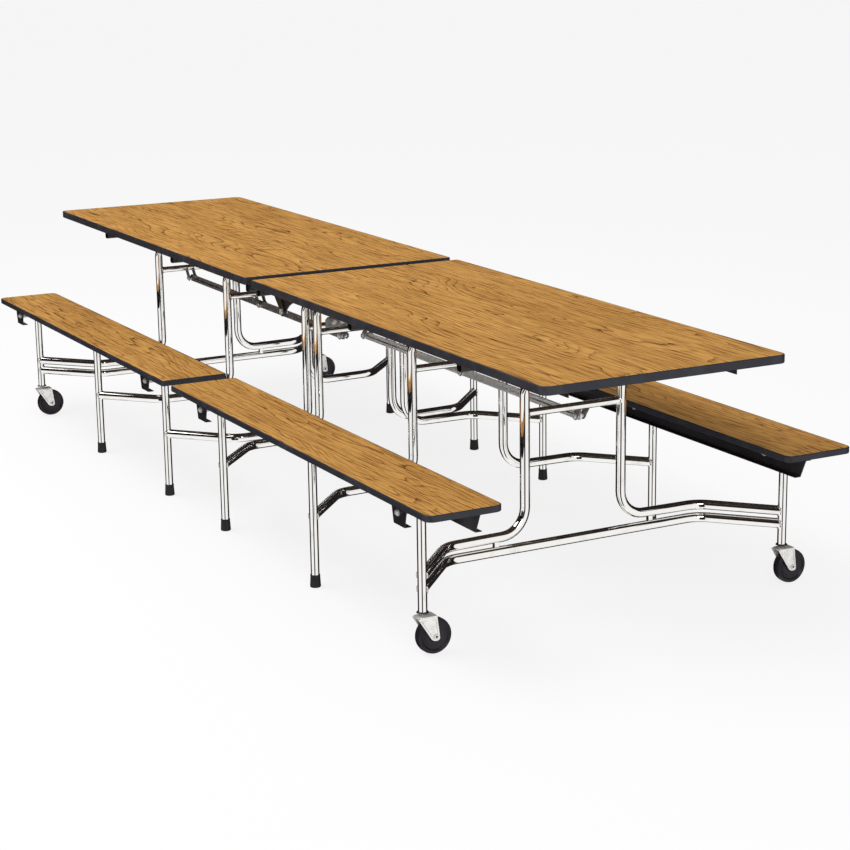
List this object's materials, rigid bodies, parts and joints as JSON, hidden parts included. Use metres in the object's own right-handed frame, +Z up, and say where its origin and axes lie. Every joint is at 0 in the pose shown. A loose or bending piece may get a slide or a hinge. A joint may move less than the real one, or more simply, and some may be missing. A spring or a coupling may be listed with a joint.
{
  "type": "cafeteria folding table with benches",
  "caption": "Mobile cafeteria table that folds up at its middle, with attached benches on both long sides, tubular leg frames and swivel casters.",
  "frame": {"origin": "on the floor, below the middle of the open table", "axes": "+X along the table, +Y across it, +Z up"},
  "size_m": [3.684, 1.346, 0.75],
  "materials": {
    "laminate": "oak-pattern laminate, satin",
    "edge_band": "moulded edge, charcoal",
    "black_steel": "black enamel",
    "chrome": "bright chrome",
    "zinc": "zinc plated",
    "bar_steel": "zinc plated strip",
    "rubber": "moulded rubber",
    "wheel_rubber": "solid rubber wheel"
  },
  "bodies": {
    "left_top": {"left_tabletop": "laminate", "left_tabletop_edge": "edge_band", "left_top_frame": "black_steel", "left_hinge_plates": "black_steel", "left_leg_bolts": "zinc", "hinge_pins": "zinc"},
    "left_inner_frame": {"left_inner_legs": "chrome", "left_inner_posts": "chrome", "left_inner_cross_tubes": "chrome", "left_inner_glides": "rubber"},
    "left_mid_frame": {"left_mid_legs": "chrome", "left_mid_posts": "chrome", "left_mid_cross_tubes": "chrome", "left_mid_glides": "rubber"},
    "left_caster_frame": {"left_caster_legs": "chrome", "left_caster_posts": "chrome", "left_caster_cross_tubes": "chrome"},
    "left_link": {"left_link_bar": "bar_steel"},
    "left_front_bench": {"left_front_bench_board": "laminate", "left_front_bench_edge": "edge_band", "left_front_bench_beam": "black_steel", "left_front_bench_pivots": "zinc"},
    "left_front_swivel": {"left_front_caster_fork": "zinc"},
    "left_front_wheel": {"left_front_caster_wheel": "wheel_rubber"},
    "left_back_bench": {"left_back_bench_board": "laminate", "left_back_bench_edge": "edge_band", "left_back_bench_beam": "black_steel", "left_back_bench_pivots": "zinc"},
    "left_back_swivel": {"left_back_caster_fork": "zinc"},
    "left_back_wheel": {"left_back_caster_wheel": "wheel_rubber"},
    "right_top": {"right_tabletop": "laminate", "right_tabletop_edge": "edge_band", "right_top_frame": "black_steel", "right_hinge_plates": "black_steel", "right_leg_bolts": "zinc"},
    "right_inner_frame": {"right_inner_legs": "chrome", "right_inner_posts": "chrome", "right_inner_cross_tubes": "chrome", "right_inner_glides": "rubber"},
    "right_mid_frame": {"right_mid_legs": "chrome", "right_mid_posts": "chrome", "right_mid_cross_tubes": "chrome", "right_mid_glides": "rubber"},
    "right_caster_frame": {"right_caster_legs": "chrome", "right_caster_posts": "chrome", "right_caster_cross_tubes": "chrome"},
    "right_link": {"right_link_bar": "bar_steel"},
    "right_front_bench": {"right_front_bench_board": "laminate", "right_front_bench_edge": "edge_band", "right_front_bench_beam": "black_steel", "right_front_bench_pivots": "zinc"},
    "right_front_swivel": {"right_front_caster_fork": "zinc"},
    "right_front_wheel": {"right_front_caster_wheel": "wheel_rubber"},
    "right_back_bench": {"right_back_bench_board": "laminate", "right_back_bench_edge": "edge_band", "right_back_bench_beam": "black_steel", "right_back_bench_pivots": "zinc"},
    "right_back_swivel": {"right_back_caster_fork": "zinc"},
    "right_back_wheel": {"right_back_caster_wheel": "wheel_rubber"}
  },
  "joints": [
    {"name": "fold", "type": "hinge", "parent": "left_caster_frame", "child": "left_top", "pos_m": [-1.375, 0, 0.676], "axis": [0, -1, 0], "range_deg": [0, 90]},
    {"name": "seam_hinge", "type": "hinge", "parent": "left_top", "child": "right_top", "pos_m": [0, 0, 0.631], "axis": [0, 1, 0], "range_deg": [0, 180]},
    {"name": "left_inner_frame_pivot", "type": "hinge", "parent": "left_top", "child": "left_inner_frame", "pos_m": [-0.045, 0, 0.676], "axis": [0, 1, 0], "range_deg": [0, 90]},
    {"name": "left_mid_frame_pivot", "type": "hinge", "parent": "left_top", "child": "left_mid_frame", "pos_m": [-0.71, 0, 0.676], "axis": [0, 1, 0], "range_deg": [0, 90]},
    {"name": "left_link_pivot", "type": "hinge", "parent": "left_caster_frame", "child": "left_link", "pos_m": [-1.348, -0.035, 0.524], "axis": [0, -1, 0], "range_deg": [0, 90]},
    {"name": "left_front_bench_pivot", "type": "hinge", "parent": "left_caster_frame", "child": "left_front_bench", "pos_m": [-1.57, -0.586, 0.4], "axis": [0, -1, 0], "range_deg": [0, 90]},
    {"name": "left_front_swivel_pivot", "type": "hinge", "parent": "left_caster_frame", "child": "left_front_swivel", "pos_m": [-1.57, -0.586, 0.118], "axis": [0, 0, 1], "continuous": true},
    {"name": "left_front_wheel_axle", "type": "hinge", "parent": "left_front_swivel", "child": "left_front_wheel", "pos_m": [-1.57, -0.556, 0.05], "axis": [1, 0, 0], "continuous": true},
    {"name": "left_back_bench_pivot", "type": "hinge", "parent": "left_caster_frame", "child": "left_back_bench", "pos_m": [-1.57, 0.586, 0.4], "axis": [0, -1, 0], "range_deg": [0, 90]},
    {"name": "left_back_swivel_pivot", "type": "hinge", "parent": "left_caster_frame", "child": "left_back_swivel", "pos_m": [-1.57, 0.586, 0.118], "axis": [0, 0, 1], "continuous": true},
    {"name": "left_back_wheel_axle", "type": "hinge", "parent": "left_back_swivel", "child": "left_back_wheel", "pos_m": [-1.57, 0.616, 0.05], "axis": [1, 0, 0], "continuous": true},
    {"name": "right_inner_frame_pivot", "type": "hinge", "parent": "right_top", "child": "right_inner_frame", "pos_m": [0.045, 0, 0.676], "axis": [0, -1, 0], "range_deg": [0, 90]},
    {"name": "right_mid_frame_pivot", "type": "hinge", "parent": "right_top", "child": "right_mid_frame", "pos_m": [0.71, 0, 0.676], "axis": [0, -1, 0], "range_deg": [0, 90]},
    {"name": "right_caster_frame_pivot", "type": "hinge", "parent": "right_top", "child": "right_caster_frame", "pos_m": [1.375, 0, 0.676], "axis": [0, -1, 0], "range_deg": [0, 90]},
    {"name": "right_link_pivot", "type": "hinge", "parent": "right_caster_frame", "child": "right_link", "pos_m": [1.348, 0.035, 0.524], "axis": [0, 1, 0], "range_deg": [0, 90]},
    {"name": "right_front_bench_pivot", "type": "hinge", "parent": "right_caster_frame", "child": "right_front_bench", "pos_m": [1.57, -0.586, 0.4], "axis": [0, 1, 0], "range_deg": [0, 90]},
    {"name": "right_front_swivel_pivot", "type": "hinge", "parent": "right_caster_frame", "child": "right_front_swivel", "pos_m": [1.57, -0.586, 0.118], "axis": [0, 0, 1], "continuous": true},
    {"name": "right_front_wheel_axle", "type": "hinge", "parent": "right_front_swivel", "child": "right_front_wheel", "pos_m": [1.57, -0.556, 0.05], "axis": [1, 0, 0], "continuous": true},
    {"name": "right_back_bench_pivot", "type": "hinge", "parent": "right_caster_frame", "child": "right_back_bench", "pos_m": [1.57, 0.586, 0.4], "axis": [0, 1, 0], "range_deg": [0, 90]},
    {"name": "right_back_swivel_pivot", "type": "hinge", "parent": "right_caster_frame", "child": "right_back_swivel", "pos_m": [1.57, 0.586, 0.118], "axis": [0, 0, 1], "continuous": true},
    {"name": "right_back_wheel_axle", "type": "hinge", "parent": "right_back_swivel", "child": "right_back_wheel", "pos_m": [1.57, 0.616, 0.05], "axis": [1, 0, 0], "continuous": true}
  ],
  "couplings": [
    {"joint": "seam_hinge", "follows": "fold", "ratio": 2},
    {"joint": "left_inner_frame_pivot", "follows": "fold", "ratio": 1},
    {"joint": "left_mid_frame_pivot", "follows": "fold", "ratio": 1},
    {"joint": "left_link_pivot", "follows": "fold", "ratio": 1},
    {"joint": "left_front_bench_pivot", "follows": "fold", "ratio": 1},
    {"joint": "left_back_bench_pivot", "follows": "fold", "ratio": 1},
    {"joint": "right_inner_frame_pivot", "follows": "fold", "ratio": 1},
    {"joint": "right_mid_frame_pivot", "follows": "fold", "ratio": 1},
    {"joint": "right_caster_frame_pivot", "follows": "fold", "ratio": 1},
    {"joint": "right_link_pivot", "follows": "fold", "ratio": 1},
    {"joint": "right_front_bench_pivot", "follows": "fold", "ratio": 1},
    {"joint": "right_back_bench_pivot", "follows": "fold", "ratio": 1}
  ]
}
